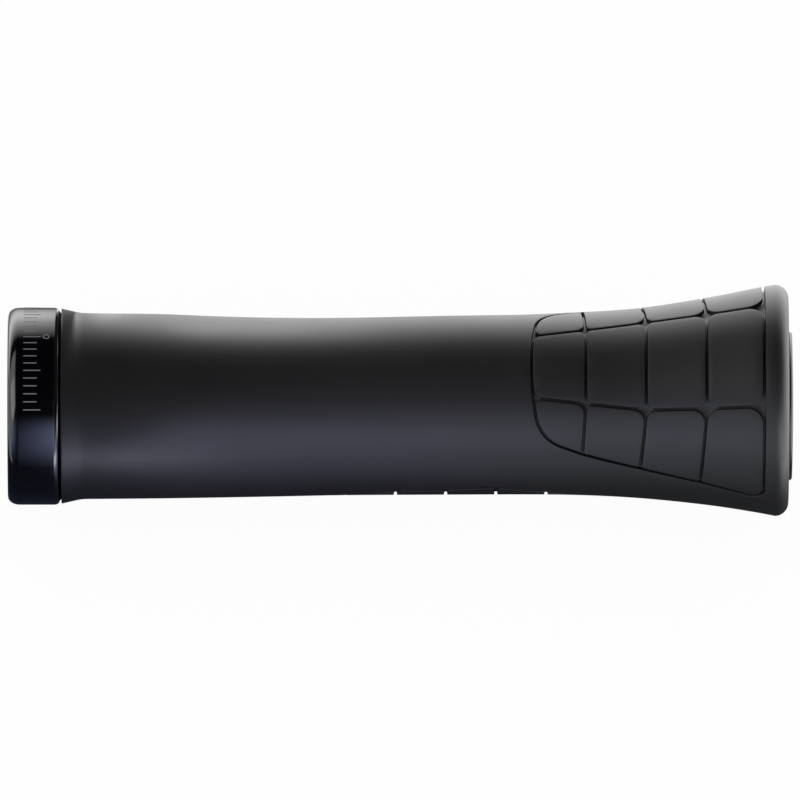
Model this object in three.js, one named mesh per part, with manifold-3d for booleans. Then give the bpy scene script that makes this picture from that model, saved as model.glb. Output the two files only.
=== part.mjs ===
// Lock-on bicycle handlebar grip with a flared outer end and grooved pads.
// X runs along the bar from the clamp ring's inboard face (x = 0) to the outer end, +Z is the palm side.
// The palm side and the two halves to its left and right mirror each other about the XZ plane.

import * as THREE from 'three';
import { TessellateModifier } from 'three/addons/modifiers/TessellateModifier.js';
import { mergeVertices } from 'three/addons/utils/BufferGeometryUtils.js';
import Module from 'manifold-3d';

const wasm = await Module();
wasm.setup();

// Bar and overall length, in millimetres like every length here
const BAR_DIAMETER = 22.2;
const BAR_CLEARANCE = 0.05;
const GRIP_LENGTH = 135;

// Clearances between neighbouring pieces
const FIT_GAP = 0.3;
const END_GAP = 0.1;

// Clamp ring
const RING_WIDTH = 9.2;
const RING_WALL = 5.8;
const RING_INBOARD_ROUND = 1.6;
const RING_OUTBOARD_LENGTH = 0.95;
const RING_OUTBOARD_DROP = 0.6;
const RING_BORE_CHAMFER = 0.4;
const SLIT_WIDTH = 1.5;

// Clamp bolt, an M3 socket screw across the slit
const BOLT_DIAMETER = 3;
const BOLT_HEAD_DIAMETER = 5.5;
const BOLT_HEAD_HEIGHT = 3;
const BOLT_SOCKET_WIDTH = 2.5;
const BOLT_SOCKET_DEPTH = 1.5;
const BOLT_BED = 4.6;
const BOLT_REACH = 8;
const BOLT_WALL = 0.65;

// Core sleeve and the dogs that lock it to the ring
const CORE_WALL = 1.15;
const DOG_COUNT = 3;
const DOG_LENGTH = 2;
const DOG_WIDTH = 6;

// End plug
const PLUG_RADIUS = 12.75;
const PLUG_RIM = 0.45;
const PLUG_DOME = 0.3;
const PLUG_ROUND = 0.15;
const PLUG_SKIRT_LENGTH = 8;
const PLUG_SKIRT_WALL = 1.6;

// Rubber outline near the ring: distance from the inboard end, wall over the core, shift to the palm side
const INBOARD_STATIONS = [
  { along: 0, wall: 4.17, shift: 0 },
  { along: 1.6, wall: 3.8, shift: 0 },
  { along: 3.1, wall: 3.45, shift: 0 },
  { along: 4.6, wall: 3.38, shift: 0 },
  { along: 14.7, wall: 3.25, shift: 0 },
  { along: 27.2, wall: 2.98, shift: -0.22 },
  { along: 47.7, wall: 2.65, shift: -0.12 },
];

// Rubber outline of the flare: distance back from the flange's outer face, wall, shift
const FLARE_STATIONS = [
  { back: 60, wall: 2.67, shift: 0.3 },
  { back: 46, wall: 2.85, shift: 0.65 },
  { back: 36, wall: 3.2, shift: 1.0 },
  { back: 25.6, wall: 3.76, shift: 1.3 },
  { back: 18.7, wall: 4.57, shift: 1.6 },
  { back: 11.8, wall: 5.58, shift: 1.95 },
  { back: 5, wall: 6.8, shift: 2.2 },
  { back: 2.3, wall: 7.26, shift: 2.2 },
];
const FLANGE_ROUND = 2.3;

// Grooves between the pads
const GROOVE_WIDTH = 0.5;
const GROOVE_DEPTH = 0.45;
const JUNCTION_ROUND = 0.55;

// Palm pads: lines across the grip, from the flange inwards, with the arc from the palm line to the
// row groove and to the field's edge, and the corner lengths left and right of each line
const PALM_LINES = [
  { back: 44.3, edgeBack: 43.2, row: 6.1, edge: 13.1, roundBefore: 0, roundAfter: 1.1 },
  { back: 35.1, edgeBack: 35.25, row: 7.3, edge: 16.5, roundBefore: 1.1, roundAfter: 0.6 },
  { back: 24.7, edgeBack: 25.15, row: 8.8, edge: 19.95, roundBefore: 1.4, roundAfter: 0.9 },
  { back: 14.3, edgeBack: 14.7, row: 9.5, edge: 24.1, roundBefore: 2.1, roundAfter: 1.5 },
  { back: 4.2, edgeBack: 4.2, row: 10.1, edge: 29.5, roundBefore: 2.7, roundAfter: 0 },
];
const PALM_INNER_CORNER = 4.2;
const PALM_OUTER_CORNER = 2.6;

// Finger pads under the grip, in the same terms from the line opposite the palm
const FINGER_BACK = 33;
const FINGER_PITCH = 8.62;
const FINGER_ROW = 7.5;
const FINGER_EDGES = [12.5, 17.5, 21, 21.8, 23.2, 20.6, 16.5];
const FINGER_ROUND = 1;
const FINGER_CORNER = 4;

// Fineness of the faceted solids
const ROUND_STEPS = 60;
const FINE_STEPS = 24;
const RIM_STEPS = 5;
const BEND_STEP = 0.9;
const ARC_STEP = 3.4;
const LENGTH_STEP = 8;
const SPLIT_ROUNDS = 12;

// Sizes that follow from the ones above
const boreRadius = BAR_DIAMETER / 2 + BAR_CLEARANCE;
const ringRadius = boreRadius + RING_WALL;
const coreRadius = boreRadius + CORE_WALL;
const rubberBore = coreRadius + FIT_GAP;
const gripStart = RING_WIDTH + END_GAP;
const plugSeat = GRIP_LENGTH - PLUG_DOME - PLUG_RIM;
const gripEnd = plugSeat - END_GAP;
const coreEnd = gripEnd - FIT_GAP;
const boltHoleRadius = BOLT_DIAMETER / 2 + FIT_GAP;
const boltDrop = boreRadius + BOLT_WALL + boltHoleRadius;

const stations = [
  ...INBOARD_STATIONS.map(({ along, wall, shift }) => ({ x: gripStart + along, wall, shift })),
  ...FLARE_STATIONS.map(({ back, wall, shift }) => ({ x: gripEnd - back, wall, shift })),
];

// Smooth curve through the stations, read at x
function follow(key, x) {
  const last = stations.length - 1;
  if (x <= stations[0].x) return stations[0][key];
  if (x >= stations[last].x) return stations[last][key];
  const i = stations.findIndex((station) => station.x > x) - 1;
  const slope = (k) => {
    const before = stations[Math.max(k - 1, 0)];
    const after = stations[Math.min(k + 1, last)];
    return (after[key] - before[key]) / (after.x - before.x);
  };
  const [from, to] = [stations[i], stations[i + 1]];
  const span = to.x - from.x;
  const t = (x - from.x) / span;
  const rise = to[key] - from[key];
  const bend = t * (1 - t);
  return from[key] + rise * t * t * (3 - 2 * t)
    + span * bend * ((1 - t) * slope(i) - t * slope(i + 1));
}

const gripRadius = (x) => rubberBore + follow('wall', x);
const gripShift = (x) => follow('shift', x);

// Closed solid for cutting and joining: shared corners merged, collapsed triangles left out
function solid(geometry) {
  geometry.deleteAttribute('normal');
  geometry.deleteAttribute('uv');
  const welded = mergeVertices(geometry);
  const corners = welded.index.array;
  const kept = [];
  for (let i = 0; i < corners.length; i += 3) {
    const [a, b, c] = corners.subarray(i, i + 3);
    if (a !== b && b !== c && c !== a) kept.push(a, b, c);
  }
  return new wasm.Manifold(new wasm.Mesh({
    numProp: 3,
    vertProperties: new Float32Array(welded.attributes.position.array),
    triVerts: new Uint32Array(kept),
  }));
}

// Named mesh of a finished solid
function piece(name, body, material) {
  const { vertProperties, triVerts } = body.getMesh();
  const geometry = new THREE.BufferGeometry();
  geometry.setAttribute('position', new THREE.BufferAttribute(vertProperties, 3));
  geometry.setIndex(new THREE.BufferAttribute(triVerts, 1));
  geometry.computeVertexNormals();
  const mesh = new THREE.Mesh(geometry, material);
  mesh.name = name;
  return mesh;
}

// Outline of [x, radius] points turned about the bar's axis
function turnedShape(outline) {
  const points = outline.map(([x, radius]) => new THREE.Vector2(radius, x));
  return new THREE.LatheGeometry([...points, points[0]], ROUND_STEPS).rotateZ(-Math.PI / 2);
}

const turned = (outline) => solid(turnedShape(outline));

function rodAlongX(radius, from, to) {
  const rod = new THREE.CylinderGeometry(radius, radius, to - from, ROUND_STEPS);
  return solid(rod.rotateZ(-Math.PI / 2).translate((from + to) / 2, 0, 0));
}

// Round or six-sided rod along Y in the ring's bolt line
function rodOnBoltLine(radius, from, to, sides = FINE_STEPS) {
  const rod = new THREE.CylinderGeometry(radius, radius, to - from, sides);
  return solid(rod.translate(RING_WIDTH / 2, (from + to) / 2, -boltDrop));
}

// Rounded rim of a turned outline, from the end face at `end` to the side at radius `side`. It reaches
// `length` along X, negative for a face at the outer end, and drops the face's rim by `drop`.
function roundedRim(end, side, length, drop) {
  return Array.from({ length: RIM_STEPS + 1 }, (_, i) => {
    const angle = (i / RIM_STEPS) * Math.PI / 2;
    return [end + length * (1 - Math.cos(angle)), side - drop * (1 - Math.sin(angle))];
  });
}

// Dogs between the core and the ring, grown by a gap where they are cut out of the ring
function dogs(gap) {
  const inner = boreRadius - gap;
  const outer = coreRadius + gap;
  const from = RING_WIDTH - DOG_LENGTH - gap;
  const to = gripStart + END_GAP;
  const band = turned([[from, inner], [from, outer], [to, outer], [to, inner]]);
  let result;
  for (let k = 0; k < DOG_COUNT; k += 1) {
    const block = new THREE.BoxGeometry(to - from, DOG_WIDTH + 2 * gap, outer)
      .translate((from + to) / 2, 0, outer / 2 + gap)
      .rotateX((2 * Math.PI * k) / DOG_COUNT);
    const dog = band.intersect(solid(block));
    result = result ? result.add(dog) : dog;
  }
  return result;
}

function clampRing() {
  const blank = turned([
    [RING_BORE_CHAMFER, boreRadius],
    [0, boreRadius + RING_BORE_CHAMFER],
    ...roundedRim(0, ringRadius, RING_INBOARD_ROUND, RING_INBOARD_ROUND),
    ...roundedRim(RING_WIDTH, ringRadius, -RING_OUTBOARD_LENGTH, RING_OUTBOARD_DROP).reverse(),
    [RING_WIDTH, boreRadius],
  ]);
  const slit = new THREE.BoxGeometry(2 * RING_WIDTH, SLIT_WIDTH, ringRadius)
    .translate(RING_WIDTH / 2, 0, -ringRadius);
  return blank
    .subtract(solid(slit))
    .subtract(rodOnBoltLine(boltHoleRadius, -2 * ringRadius, BOLT_BED + BOLT_HEAD_HEIGHT))
    .subtract(rodOnBoltLine(BOLT_HEAD_DIAMETER / 2 + FIT_GAP, BOLT_BED, 2 * ringRadius))
    .subtract(dogs(FIT_GAP));
}

function clampBolt() {
  const headTop = BOLT_BED + BOLT_HEAD_HEIGHT + END_GAP;
  const socket = rodOnBoltLine(BOLT_SOCKET_WIDTH / Math.sqrt(3), headTop - BOLT_SOCKET_DEPTH,
    headTop + BOLT_SOCKET_DEPTH, 6);
  return rodOnBoltLine(BOLT_HEAD_DIAMETER / 2, BOLT_BED + END_GAP, headTop)
    .add(rodOnBoltLine(BOLT_DIAMETER / 2, -BOLT_REACH, headTop - BOLT_SOCKET_DEPTH))
    .subtract(socket);
}

function coreSleeve() {
  return rodAlongX(coreRadius, gripStart, coreEnd)
    .subtract(rodAlongX(boreRadius, 0, GRIP_LENGTH))
    .add(dogs(0));
}

function endPlug() {
  const skirtRadius = boreRadius - FIT_GAP;
  const skirtEnd = plugSeat - PLUG_SKIRT_LENGTH;
  const rimEnd = plugSeat + PLUG_RIM;
  const domeRadius = PLUG_RADIUS - PLUG_ROUND;
  return turned([
    [plugSeat, 0],
    [plugSeat, skirtRadius - PLUG_SKIRT_WALL],
    [skirtEnd, skirtRadius - PLUG_SKIRT_WALL],
    [skirtEnd, skirtRadius],
    [plugSeat, skirtRadius],
    [plugSeat, PLUG_RADIUS],
    [rimEnd - PLUG_ROUND, PLUG_RADIUS],
    [rimEnd, domeRadius],
    [rimEnd + PLUG_DOME * 0.55, domeRadius * 0.67],
    [rimEnd + PLUG_DOME * 0.9, domeRadius * 0.33],
    [GRIP_LENGTH, 0],
  ]);
}

// Closed outline with its sides moved inwards, for corners listed counterclockwise
function inset(corners, distance) {
  return corners.map((corner, i) => {
    const into = corner.clone().sub(corners.at(i - 1)).normalize();
    const away = corners[(i + 1) % corners.length].clone().sub(corner).normalize();
    const reach = distance / (1 + into.dot(away));
    return new THREE.Vector2(corner.x - (into.y + away.y) * reach, corner.y + (into.x + away.x) * reach);
  });
}

// Closed outline with a bend of the given length at each corner
function rounded(corners, lengths) {
  return corners.flatMap((corner, i) => {
    const before = corners.at(i - 1);
    const after = corners[(i + 1) % corners.length];
    const start = corner.clone().add(before.clone().sub(corner).setLength(lengths[i]));
    const end = corner.clone().add(after.clone().sub(corner).setLength(lengths[i]));
    const steps = Math.ceil(lengths[i] / BEND_STEP);
    return new THREE.QuadraticBezierCurve(start, corner, end).getPoints(steps);
  });
}

// Field of grooves around rows of pads, as a flat pattern of x and arc. Each line crosses the grip at
// `x`, or `edgeX` at the field's edges, and has the arcs of its row grooves and edges.
function grooveField(lines, innerCorner, outerCorner) {
  const grid = lines.map(({ x, edgeX, row, edge }) => [
    new THREE.Vector2(edgeX, -edge),
    new THREE.Vector2(x, -row),
    new THREE.Vector2(x, row),
    new THREE.Vector2(edgeX, edge),
  ]);
  const last = lines.length - 1;
  const rows = 3;
  const border = [
    ...grid.map((line) => line[0]),
    grid[last][1],
    grid[last][2],
    ...grid.map((line) => line[rows]).reverse(),
    grid[0][2],
    grid[0][1],
  ];
  const extremes = new Map([
    [grid[0][0], innerCorner],
    [grid[0][rows], innerCorner],
    [grid[last][0], outerCorner],
    [grid[last][rows], outerCorner],
  ]);
  const borderLengths = border.map((corner) => {
    const length = extremes.get(corner);
    return length ? length + GROOVE_WIDTH / 2 : JUNCTION_ROUND;
  });
  const field = new THREE.Shape(rounded(inset(border, -GROOVE_WIDTH / 2), borderLengths));
  for (let column = 0; column < last; column += 1) {
    for (let row = 0; row < rows; row += 1) {
      const quad = [grid[column][row], grid[column + 1][row], grid[column + 1][row + 1],
        grid[column][row + 1]];
      const lengths = quad.map((corner, i) => {
        const besideEdge = grid[column].indexOf(corner) % rows === 0
          || grid[column + 1].indexOf(corner) % rows === 0;
        if (extremes.has(corner)) return extremes.get(corner) - GROOVE_WIDTH / 2;
        if (besideEdge) return JUNCTION_ROUND;
        return i === 0 || i === rows ? lines[column].roundAfter : lines[column + 1].roundBefore;
      });
      field.holes.push(new THREE.Path(rounded(inset(quad, GROOVE_WIDTH / 2), lengths)));
    }
  }
  return field;
}

// Cutter for a flat pattern, wrapped on the rubber about the line at `middle` radians from the palm.
// Its long triangles are split first, mostly along the arc, so that they follow the round.
function grooveCutter(field, middle) {
  const slab = new THREE.ExtrudeGeometry(field, { depth: 2 * GROOVE_DEPTH, bevelEnabled: false });
  const squeeze = ARC_STEP / LENGTH_STEP;
  const sheet = new TessellateModifier(ARC_STEP, SPLIT_ROUNDS)
    .modify(slab.scale(squeeze, 1, 1))
    .scale(1 / squeeze, 1, 1);
  const place = sheet.attributes.position;
  for (let i = 0; i < place.count; i += 1) {
    const x = place.getX(i);
    const radius = gripRadius(x);
    const angle = middle + place.getY(i) / radius;
    const reach = radius + place.getZ(i) - GROOVE_DEPTH;
    place.setXYZ(i, x, reach * Math.sin(angle), gripShift(x) + reach * Math.cos(angle));
  }
  return solid(sheet);
}

function palmCutter() {
  const lines = PALM_LINES.map((line) => (
    { ...line, x: gripEnd - line.back, edgeX: gripEnd - line.edgeBack }));
  return grooveCutter(grooveField(lines, PALM_INNER_CORNER, PALM_OUTER_CORNER), 0);
}

function fingerCutter() {
  const lines = FINGER_EDGES.map((edge, i) => {
    const x = gripEnd - FINGER_BACK - (FINGER_EDGES.length - 1 - i) * FINGER_PITCH;
    return { x, edgeX: x, row: FINGER_ROW, edge, roundBefore: FINGER_ROUND, roundAfter: FINGER_ROUND };
  });
  return grooveCutter(grooveField(lines, FINGER_CORNER, FINGER_CORNER), Math.PI);
}

function rubberGrip() {
  const flangeX = gripEnd - FLANGE_ROUND;
  const flangeRadius = gripRadius(flangeX);
  const between = stations.flatMap(({ x }, i) => {
    const next = stations[i + 1]?.x ?? x;
    const steps = Math.max(1, Math.floor((next - x) / LENGTH_STEP));
    return Array.from({ length: steps }, (_, k) => x + ((next - x) * k) / steps);
  });
  const side = between.filter((x) => x < flangeX).map((x) => [x, gripRadius(x)]);
  const shape = turnedShape([
    [gripStart, boreRadius / 2],
    ...side,
    ...roundedRim(gripEnd, flangeRadius, -FLANGE_ROUND, FLANGE_ROUND).reverse(),
    [gripEnd, boreRadius / 2],
  ]);
  const place = shape.attributes.position;
  for (let i = 0; i < place.count; i += 1) {
    place.setZ(i, place.getZ(i) + gripShift(place.getX(i)));
  }
  return solid(shape)
    .subtract(rodAlongX(rubberBore, 0, GRIP_LENGTH))
    .subtract(palmCutter())
    .subtract(fingerCutter());
}

const anodised = new THREE.MeshStandardMaterial({ color: 0x0b0b0e, roughness: 0.2, metalness: 0.8 });
const steel = new THREE.MeshStandardMaterial({ color: 0x2a2a2c, roughness: 0.35, metalness: 1 });
const nylon = new THREE.MeshStandardMaterial({ color: 0x1a1a1a, roughness: 0.6, metalness: 0 });
const rubber = new THREE.MeshStandardMaterial({ color: 0x202022, roughness: 0.55, metalness: 0 });
const capPlastic = new THREE.MeshStandardMaterial({ color: 0x161618, roughness: 0.4, metalness: 0 });

const group = new THREE.Group();
group.add(
  piece('clamp_ring', clampRing(), anodised),
  piece('clamp_bolt', clampBolt(), steel),
  piece('core_sleeve', coreSleeve(), nylon),
  piece('rubber_grip', rubberGrip(), rubber),
  piece('end_plug', endPlug(), capPlastic),
);

export default group;
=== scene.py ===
import math

import bmesh
import bpy
from mathutils import Matrix, Vector, geometry, kdtree


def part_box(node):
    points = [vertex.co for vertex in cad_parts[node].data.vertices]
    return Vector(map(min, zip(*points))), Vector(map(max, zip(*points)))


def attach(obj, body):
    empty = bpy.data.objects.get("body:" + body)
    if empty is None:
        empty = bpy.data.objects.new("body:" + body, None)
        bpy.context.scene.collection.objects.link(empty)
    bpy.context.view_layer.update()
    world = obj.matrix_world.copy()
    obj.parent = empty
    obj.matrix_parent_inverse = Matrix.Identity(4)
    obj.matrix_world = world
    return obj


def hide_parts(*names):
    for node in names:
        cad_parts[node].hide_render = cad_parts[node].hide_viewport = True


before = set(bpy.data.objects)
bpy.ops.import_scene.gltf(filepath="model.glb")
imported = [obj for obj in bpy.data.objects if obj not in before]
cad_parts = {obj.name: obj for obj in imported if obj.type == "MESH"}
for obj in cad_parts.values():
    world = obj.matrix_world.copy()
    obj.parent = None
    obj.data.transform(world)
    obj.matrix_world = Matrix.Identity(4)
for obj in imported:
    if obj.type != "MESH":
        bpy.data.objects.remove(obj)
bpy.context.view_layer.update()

bl_info = {
    "name": "Lock-on Handlebar Grip",
    "version": (1, 0, 0),
    "blender": (4, 5, 0),
    "location": "View3D > Sidebar > Grip",
    "description": "Builds a flared lock-on handlebar grip around its packed model",
    "category": "Add Mesh",
}

MM = 0.001

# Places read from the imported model, in metres
RING_LOW, RING_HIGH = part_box("clamp_ring")
BOLT_LOW, BOLT_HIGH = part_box("clamp_bolt")
CORE_LOW, CORE_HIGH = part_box("core_sleeve")
RUBBER_LOW, RUBBER_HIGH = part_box("rubber_grip")
PLUG_LOW, PLUG_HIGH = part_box("end_plug")

# Places along the ring: inboard face, start of the outboard edge and outboard face, in mm
RING_FACES = (0.1, 8.9, 9.27)

# Radii of the bores, and sizes of the dogs and the bolt, in mm
BAR_BORE = 11.15
RUBBER_BORE = 12.6
DOG_COUNT = 3
DOG_WIDTH = 6.0
BOLT_SEAT = 4.6
BOLT_HEAD_HEIGHT = 3.0
BOLT_SHANK_RADIUS = 1.5
SOCKET_WIDTH = 2.5
SOCKET_DEPTH = 1.5
PLAY = 0.3

# Outline of the rubber from its inboard end: distance along, radius, shift to the palm side, in mm
INBOARD_OUTLINE = (
    (0, 16.77, 0),
    (1.5, 16.43, 0),
    (3.1, 16.08, 0),
    (4.1, 15.99, 0),
    (6.7, 15.95, -0.03),
    (17, 15.85, -0.05),
    (27.2, 15.57, -0.33),
    (37.5, 15.36, -0.38),
    (47.8, 15.25, -0.17),
)
# Outline of the flare: distance back from the flange's outer face, radius, shift, in mm
FLARE_OUTLINE = (
    (58, 15.38, 0.36),
    (46.1, 15.45, 0.6),
    (39.2, 15.6, 0.86),
    (32.3, 15.87, 1.01),
    (25.5, 16.34, 1.17),
    (18.65, 17.15, 1.57),
    (11.75, 18.16, 1.98),
    (4.9, 19.4, 2.3),
    (2.3, 19.86, 2.2),
)

# Palm pads, from the flange inwards: distance back, distance back at the field's edge, arc from the
# palm line to the row groove and to the edge, and corner lengths before and after the line, each for
# the middle row and the outer rows, in mm
PALM_LINES = (
    (43.86, 42.85, 6.1, 13.2, (0, 0), (1.2, 1.6)),
    (34.85, 35.45, 7.3, 16.5, (1.3, 1.7), (0.9, 1.2)),
    (24.47, 25.53, 8.8, 19.95, (1.6, 2.1), (1.2, 1.6)),
    (14.11, 15.26, 9.5, 24.1, (2.3, 2.5), (1.9, 2.2)),
    (4.28, 4.39, 10.1, 29.5, (3.1, 3.0), (0, 0)),
)
PALM_BOW = 0.5
PALM_BOW_BEND = 5.0
PALM_INNER_CORNER = 4.2
PALM_OUTER_CORNER = 2.6

# Finger pads under the grip, in the same terms from the line opposite the palm, in mm
FINGER_BACK = 33
FINGER_PITCH = 8.62
FINGER_ROW = 7.5
FINGER_EDGES = (12.5, 17.5, 21, 21.8, 23.2, 20.6, 16.5)
FINGER_ROUND = (1.0, 1.0)
FINGER_CORNER = 4.0

# Seam of the unrolled rubber, in degrees from the palm line: it misses both fields of pads
SEAM_ANGLE = -91.5
UNROLLED_RADIUS = 16.0


class GripRubber(bpy.types.PropertyGroup):
    """Sizes and finish of the rubber."""

    groove_width: bpy.props.FloatProperty(
        name="Groove Width", description="Width of the grooves between pads",
        default=0.56 * MM, subtype="DISTANCE", unit="LENGTH")
    groove_depth: bpy.props.FloatProperty(
        name="Groove Depth", description="Depth of the grooves between pads",
        default=0.85 * MM, subtype="DISTANCE", unit="LENGTH")
    finger_depth: bpy.props.FloatProperty(
        name="Finger Groove Depth", description="Depth of the grooves between finger pads",
        default=0.55 * MM, subtype="DISTANCE", unit="LENGTH")
    pad_round: bpy.props.FloatProperty(
        name="Pad Edge", description="Radius of the pads' upper edges",
        default=0.06 * MM, subtype="DISTANCE", unit="LENGTH")
    junction_round: bpy.props.FloatProperty(
        name="Junction Corner", description="Corner radius where a groove meets the field's edge",
        default=0.55 * MM, subtype="DISTANCE", unit="LENGTH")
    flange_round: bpy.props.FloatProperty(
        name="Flange Edge", description="Radius of the flange's outer edge",
        default=2.3 * MM, subtype="DISTANCE", unit="LENGTH")
    colour: bpy.props.FloatVectorProperty(
        name="Rubber", description="Colour of the rubber", subtype="COLOR", size=4,
        default=(0.0062, 0.0062, 0.0074, 1), min=0, max=1)
    roughness: bpy.props.FloatProperty(
        name="Roughness", description="Roughness of the rubber", default=0.47, min=0, max=1)


class GripRing(bpy.types.PropertyGroup):
    """Sizes and finish of the clamp ring and its marks."""

    inboard_round: bpy.props.FloatProperty(
        name="Inboard Edge", description="Radius of the ring's inboard edge",
        default=2.0 * MM, subtype="DISTANCE", unit="LENGTH")
    slit_width: bpy.props.FloatProperty(
        name="Slit", description="Width of the slit that lets the ring close",
        default=1.5 * MM, subtype="DISTANCE", unit="LENGTH")
    tick_pitch: bpy.props.FloatProperty(
        name="Tick Pitch", description="Angle between two marks of the scale",
        default=math.radians(4.68), subtype="ANGLE", unit="ROTATION")
    zero_angle: bpy.props.FloatProperty(
        name="Zero Mark", description="Angle of the scale's middle from the palm line",
        default=math.radians(18.1), subtype="ANGLE", unit="ROTATION")
    colour: bpy.props.FloatVectorProperty(
        name="Ring", description="Colour of the anodised ring", subtype="COLOR", size=4,
        default=(0.0013, 0.0014, 0.0024, 1), min=0, max=1)
    mark_colour: bpy.props.FloatVectorProperty(
        name="Marks", description="Colour of the marked scale", subtype="COLOR", size=4,
        default=(0.13, 0.13, 0.135, 1), min=0, max=1)


class GripStage(bpy.types.PropertyGroup):
    """Studio light and camera."""

    camera_elevation: bpy.props.FloatProperty(
        name="Elevation", description="Camera height over the bar's axis",
        default=math.radians(63.5), subtype="ANGLE", unit="ROTATION")
    picture_width: bpy.props.FloatProperty(
        name="Picture Width", description="Width of the picture at the bar's axis",
        default=137.48 * MM, subtype="DISTANCE", unit="LENGTH")
    lens: bpy.props.FloatProperty(
        name="Lens", description="Focal length in mm", default=1500)
    key_strength: bpy.props.FloatProperty(
        name="Back Light", description="Brightness of the softbox behind the grip", default=3.6)
    side_strength: bpy.props.FloatProperty(
        name="Side Light", description="Brightness of the high softbox on the ring's side", default=1.4)
    end_strength: bpy.props.FloatProperty(
        name="End Light", description="Brightness of the low softbox beside the plug", default=3.5)
    fill_strength: bpy.props.FloatProperty(
        name="Front Light", description="Brightness of the blue softbox in front", default=2.9)


def link_mesh(name, bm, smooth_angle=math.radians(35)):
    """Object of a finished bmesh, shaded smooth and sharp past an angle."""
    mesh = bpy.data.meshes.new(name)
    bm.to_mesh(mesh)
    bm.free()
    mesh.polygons.foreach_set("use_smooth", [True] * len(mesh.polygons))
    mesh.set_sharp_from_angle(angle=smooth_angle)
    obj = bpy.data.objects.new(name, mesh)
    bpy.context.scene.collection.objects.link(obj)
    return obj


def stand_in(obj, node, material):
    """Puts a finished piece in the place of its node."""
    obj.data.materials.clear()
    obj.data.materials.append(material)
    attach(obj, "root")
    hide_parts(node)


def new_material(name, colour, roughness, **sockets):
    """Principled material with its node tree, ready for a pattern."""
    material = bpy.data.materials.new(name)
    material.use_nodes = True
    shader = material.node_tree.nodes["Principled BSDF"]
    shader.inputs["Base Color"].default_value = colour
    shader.inputs["Roughness"].default_value = roughness
    for socket, value in sockets.items():
        shader.inputs[socket.replace("_", " ")].default_value = value
    return material, material.node_tree, shader


def object_noise(tree, scale, detail=2.0):
    """Noise on Object coordinates at so many repeats a metre."""
    place = tree.nodes.new("ShaderNodeTexCoord")
    noise = tree.nodes.new("ShaderNodeTexNoise")
    noise.inputs["Scale"].default_value = scale
    noise.inputs["Detail"].default_value = detail
    tree.links.new(place.outputs["Object"], noise.inputs["Vector"])
    return noise


def add_bump(tree, shader, height, strength, distance):
    bump = tree.nodes.new("ShaderNodeBump")
    bump.inputs["Strength"].default_value = strength
    bump.inputs["Distance"].default_value = distance
    tree.links.new(height, bump.inputs["Height"])
    tree.links.new(bump.outputs["Normal"], shader.inputs["Normal"])


def ramp_between(tree, source, low, high):
    """A value from low to high, led by a noise from 0 to 1."""
    ramp = tree.nodes.new("ShaderNodeMapRange")
    ramp.inputs["To Min"].default_value = low
    ramp.inputs["To Max"].default_value = high
    tree.links.new(source, ramp.inputs["Value"])
    return ramp.outputs["Result"]


def grained_material(name, colour, roughness, grain, strength, distance, **sockets):
    """Material with a bump led by a noise of so many repeats a metre and so much detail."""
    material, tree, shader = new_material(name, colour, roughness, **sockets)
    add_bump(tree, shader, object_noise(tree, *grain).outputs["Fac"], strength, distance)
    return material


def rubber_material(settings):
    """Satin moulded rubber with the fine grain of an eroded mould."""
    material, tree, shader = new_material("satin_rubber", settings.colour, settings.roughness)
    grain = object_noise(tree, 5200, 3.0)
    cloud = object_noise(tree, 160, 2.0)
    low = settings.roughness - 0.03
    tree.links.new(ramp_between(tree, cloud.outputs["Fac"], low, low + 0.06), shader.inputs["Roughness"])
    add_bump(tree, shader, grain.outputs["Fac"], 0.12, 0.02 * MM)
    return material


def anodised_material(settings):
    """Gloss black anodised aluminium with faint turning lines."""
    material, tree, shader = new_material(
        "black_anodised", settings.colour, 0.12, Specular_IOR_Level=1.0)
    lines = object_noise(tree, 900, 1.0)
    tree.links.new(ramp_between(tree, lines.outputs["Fac"], 0.1, 0.15), shader.inputs["Roughness"])
    return material


def mark_material(settings):
    """Pale laser marking on the ring."""
    return grained_material("laser_marking", settings.mark_colour, 0.6, (9000, 2.0), 0.2, 0.01 * MM)


def steel_material():
    """Black oxide steel of the bolt."""
    return grained_material(
        "black_oxide", (0.03, 0.03, 0.032, 1), 0.34, (2600, 3.0), 0.15, 0.01 * MM, Metallic=0.85)


def nylon_material():
    """Matt moulded nylon of the core."""
    return grained_material(
        "core_nylon", (0.022, 0.022, 0.022, 1), 0.6, (1800, 3.0), 0.25, 0.03 * MM)


def plug_material():
    """Satin moulded plastic of the end plug."""
    return grained_material(
        "plug_plastic", (0.014, 0.014, 0.016, 1), 0.33, (3800, 2.0), 0.15, 0.015 * MM)


def turned(name, outline, steps):
    """Closed turned piece from an outline of (x, radius) in mm about the bar's axis."""
    bm = bmesh.new()
    points = [bm.verts.new((x * MM, 0, radius * MM)) for x, radius in outline]
    edges = [bm.edges.new(pair) for pair in zip(points, points[1:])]
    if outline[0][1] > 0:
        edges.append(bm.edges.new((points[-1], points[0])))
    bmesh.ops.spin(
        bm, geom=points + edges, cent=(0, 0, 0), axis=(1, 0, 0), dvec=(0, 0, 0),
        angle=2 * math.pi, steps=steps, use_merge=True, use_duplicate=False)
    bmesh.ops.remove_doubles(bm, verts=bm.verts, dist=0.001 * MM)
    bmesh.ops.recalc_face_normals(bm, faces=bm.faces)
    return bm


def rounded_rim(end, side, length, drop, steps):
    """Quarter round of an outline from an end face to its side, in mm."""
    angles = [i / steps * math.pi / 2 for i in range(steps + 1)]
    return [(end + length * (1 - math.cos(a)), side - drop * (1 - math.sin(a))) for a in angles]


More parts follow.
